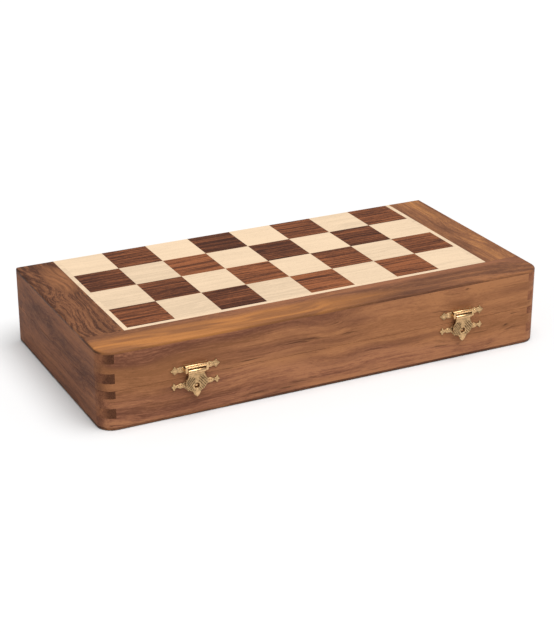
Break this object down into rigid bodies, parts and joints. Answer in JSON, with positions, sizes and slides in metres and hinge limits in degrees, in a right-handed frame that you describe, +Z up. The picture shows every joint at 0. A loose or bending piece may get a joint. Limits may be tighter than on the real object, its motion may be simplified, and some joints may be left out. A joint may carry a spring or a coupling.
{
  "type": "folding chess set",
  "caption": "Folding wooden chess set: a hinged, latched box that opens flat into a chequered board and holds its turned chessmen in fitted velvet pockets.",
  "frame": {"origin": "centre of the face that the closed box rests on", "axes": "+X along the box to the viewer's right, +Y from the latched front to the hinged back, +Z up through the closed box"},
  "size_m": [0.3, 0.1559, 0.05],
  "materials": {
    "walnut": "satin oiled",
    "walnut_border": "satin oiled",
    "panel_wood": "plain sanded",
    "maple": "satin oiled",
    "rosewood": "satin oiled",
    "boxwood": "polished",
    "ebonised_rosewood": "polished",
    "velvet": "short pile velvet over foam",
    "felt": "wool felt",
    "antique_brass": "stamped, lightly tarnished",
    "plated_brass": "satin"
  },
  "bodies": {
    "lower_half": {"dark_base_felts": "felt", "dark_bishops": "ebonised_rosewood", "dark_king": "ebonised_rosewood", "dark_knights": "ebonised_rosewood", "dark_pawns": "ebonised_rosewood", "dark_queen": "ebonised_rosewood", "dark_rooks": "ebonised_rosewood", "hinge_screws_lower": "plated_brass", "latch_nails_lower": "antique_brass", "left_catch_plate": "antique_brass", "left_hinge_lower_leaf": "plated_brass", "left_hinge_pin": "plated_brass", "lower_back_wall": "walnut", "lower_base_panel": "panel_wood", "lower_dark_squares": "rosewood", "lower_front_border": "walnut_border", "lower_front_wall": "walnut", "lower_left_border": "walnut_border", "lower_left_wall": "walnut", "lower_light_squares": "maple", "lower_right_border": "walnut_border", "lower_right_wall": "walnut", "lower_storage_insert": "velvet", "lower_stringing": "maple", "right_catch_plate": "antique_brass", "right_hinge_lower_leaf": "plated_brass", "right_hinge_pin": "plated_brass"},
    "upper_half": {"hinge_screws_upper": "plated_brass", "latch_nails_upper": "antique_brass", "left_hasp_plate": "antique_brass", "left_hinge_upper_leaf": "plated_brass", "light_base_felts": "felt", "light_bishops": "boxwood", "light_king": "boxwood", "light_knights": "boxwood", "light_pawns": "boxwood", "light_queen": "boxwood", "light_rooks": "boxwood", "right_hasp_plate": "antique_brass", "right_hinge_upper_leaf": "plated_brass", "upper_back_wall": "walnut", "upper_base_panel": "panel_wood", "upper_dark_squares": "rosewood", "upper_front_border": "walnut_border", "upper_front_wall": "walnut", "upper_left_border": "walnut_border", "upper_left_wall": "walnut", "upper_light_squares": "maple", "upper_right_border": "walnut_border", "upper_right_wall": "walnut", "upper_storage_insert": "velvet", "upper_stringing": "maple"},
    "left_latch": {"left_hasp_tongue": "antique_brass"},
    "right_latch": {"right_hasp_tongue": "antique_brass"}
  },
  "joints": [
    {"name": "lid_hinge", "type": "hinge", "parent": "lower_half", "child": "upper_half", "pos_m": [0, 0.0752, 0.025], "axis": [-1, 0, 0], "range_deg": [0, 180]},
    {"name": "left_latch_swing", "type": "hinge", "parent": "upper_half", "child": "left_latch", "pos_m": [-0.0912, -0.0774, 0.0289], "axis": [-1, 0, 0], "range_deg": [-3.6, 135]},
    {"name": "right_latch_swing", "type": "hinge", "parent": "upper_half", "child": "right_latch", "pos_m": [0.0912, -0.0774, 0.0289], "axis": [-1, 0, 0], "range_deg": [-3.6, 135]}
  ]
}
